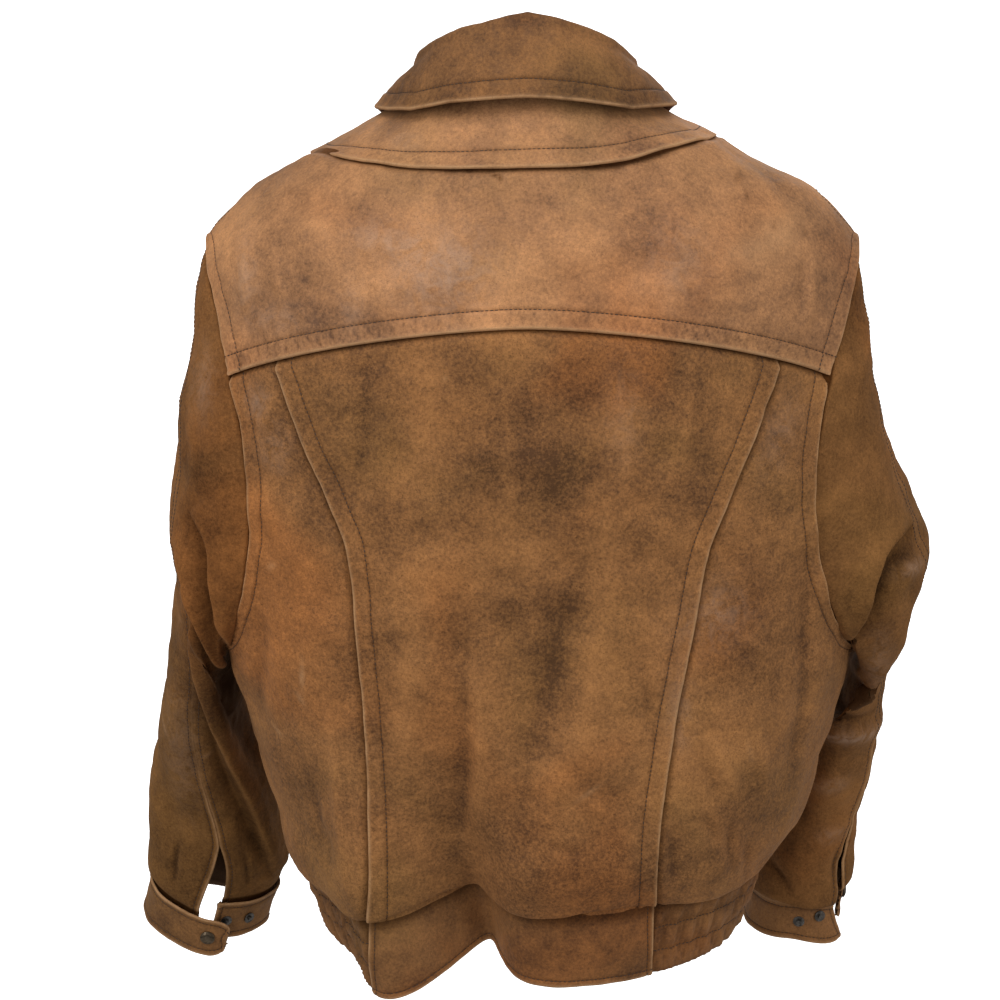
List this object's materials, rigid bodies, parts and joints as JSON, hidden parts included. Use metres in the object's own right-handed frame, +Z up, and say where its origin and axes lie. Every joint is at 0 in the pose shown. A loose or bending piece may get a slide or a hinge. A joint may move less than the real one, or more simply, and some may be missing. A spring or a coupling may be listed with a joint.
{
  "type": "leather blouson jacket",
  "caption": "Hollow, filled-out leather blouson with fold-over collar, back yoke, shaped back seams, elastic hem band, zipped front and sleeves ending in snap-tab cuffs",
  "frame": {"origin": "the middle of the neck opening, level with the back of the neck seam, where the wearer's neck and shoulders hold the jacket", "axes": "+Z up, -Y the jacket's back, +Y its zipped front, +X the wearer's right, -X the wearer's left"},
  "size_m": [0.6634, 0.341, 0.8111],
  "materials": {
    "leather_yoke": "distressed tan brown, rubbed and lightly shiny",
    "leather_back": "distressed brown, mottled and stained, dry",
    "leather_front": "distressed brown, mottled, dry",
    "leather_sleeves": "darker olive brown, creased, glossy on the folds",
    "leather_bands": "doubled leather with lighter rubbed edges",
    "zip_tape": "woven, matt",
    "aged_brass": "darkened, satin"
  },
  "bodies": {
    "jacket": {"neck_saddle": "leather_yoke", "back_yoke": "leather_yoke", "back_centre": "leather_back", "back_side_left": "leather_back", "back_side_right": "leather_back", "front_left": "leather_front", "front_right": "leather_front", "hem_back": "leather_bands", "hem_elastic_left": "leather_bands", "hem_elastic_right": "leather_bands", "hem_front_left": "leather_bands", "hem_front_right": "leather_bands", "sleeve_upper_left": "leather_sleeves", "sleeve_under_left": "leather_sleeves", "sleeve_upper_right": "leather_sleeves", "sleeve_under_right": "leather_sleeves", "cuff_left": "leather_bands", "cuff_right": "leather_bands", "collar_stand": "leather_bands", "collar_fall": "leather_bands", "zip_tape_left": "zip_tape", "zip_tape_right": "zip_tape", "zip_chain": "aged_brass", "zip_slider": "aged_brass", "snap_cap_left": "aged_brass", "snap_stud_left_1": "aged_brass", "snap_stud_left_2": "aged_brass", "snap_cap_right": "aged_brass", "snap_stud_right_1": "aged_brass", "snap_stud_right_2": "aged_brass"},
    "pull_tab": {"zip_pull": "aged_brass"}
  },
  "joints": [
    {"name": "pull_swing", "type": "hinge", "parent": "jacket", "child": "pull_tab", "pos_m": [0, 0.12559, -0.15866], "axis": [1, 0, 0], "range_deg": [0, 150]}
  ]
}
